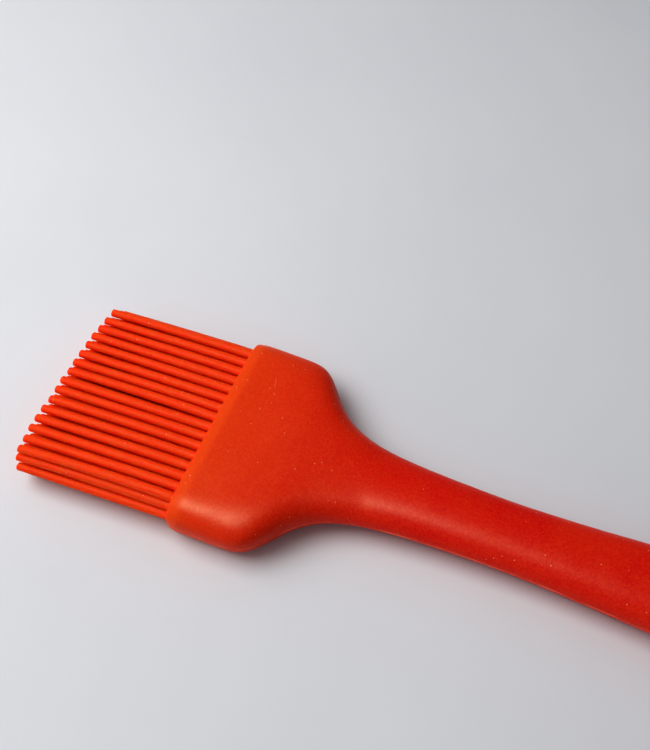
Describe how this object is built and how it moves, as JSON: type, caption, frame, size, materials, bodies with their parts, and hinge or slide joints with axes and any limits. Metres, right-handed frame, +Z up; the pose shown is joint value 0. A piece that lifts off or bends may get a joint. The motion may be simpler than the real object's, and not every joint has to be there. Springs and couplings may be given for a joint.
{
  "type": "pastry brush",
  "caption": "Flat silicone pastry brush with a wide rounded head, staggered rows of flexible bristles and a slim handle with a hanging hole.",
  "frame": {"origin": "bottom centre of the whole brush as it lies flat, bristles included", "axes": "+X runs from the bristle tips towards the handle's end, +Y across the head's width, and +Z up"},
  "size_m": [0.22, 0.06, 0.0138],
  "materials": {
    "body_silicone": "satin",
    "bristle_silicone": "satin",
    "core_nylon": "matte"
  },
  "bodies": {
    "handle": {"silicone_body": "body_silicone", "handle_core": "core_nylon", "bristle_pad": "bristle_silicone"},
    "row_1": {"bristle_row_1": "bristle_silicone"},
    "row_2": {"bristle_row_2": "bristle_silicone"},
    "row_3": {"bristle_row_3": "bristle_silicone"},
    "row_4": {"bristle_row_4": "bristle_silicone"},
    "row_5": {"bristle_row_5": "bristle_silicone"}
  },
  "joints": [
    {"name": "row_1_bend", "type": "hinge", "parent": "handle", "child": "row_1", "pos_m": [-0.0649, 0, 0.01119], "axis": [0, 1, 0], "range_deg": [-30, 30], "stiffness_Nm_per_rad": 0.06},
    {"name": "row_2_bend", "type": "hinge", "parent": "handle", "child": "row_2", "pos_m": [-0.0649, 0, 0.00904], "axis": [0, 1, 0], "range_deg": [-30, 30], "stiffness_Nm_per_rad": 0.06},
    {"name": "row_3_bend", "type": "hinge", "parent": "handle", "child": "row_3", "pos_m": [-0.0649, 0, 0.00689], "axis": [0, 1, 0], "range_deg": [-30, 30], "stiffness_Nm_per_rad": 0.06},
    {"name": "row_4_bend", "type": "hinge", "parent": "handle", "child": "row_4", "pos_m": [-0.0649, 0, 0.00474], "axis": [0, 1, 0], "range_deg": [-30, 30], "stiffness_Nm_per_rad": 0.06},
    {"name": "row_5_bend", "type": "hinge", "parent": "handle", "child": "row_5", "pos_m": [-0.0649, 0, 0.00259], "axis": [0, 1, 0], "range_deg": [-30, 30], "stiffness_Nm_per_rad": 0.06}
  ],
  "couplings": [
    {"joint": "row_1_bend", "follows": "row_3_bend", "ratio": 1},
    {"joint": "row_2_bend", "follows": "row_3_bend", "ratio": 1},
    {"joint": "row_4_bend", "follows": "row_3_bend", "ratio": 1},
    {"joint": "row_5_bend", "follows": "row_3_bend", "ratio": 1}
  ]
}
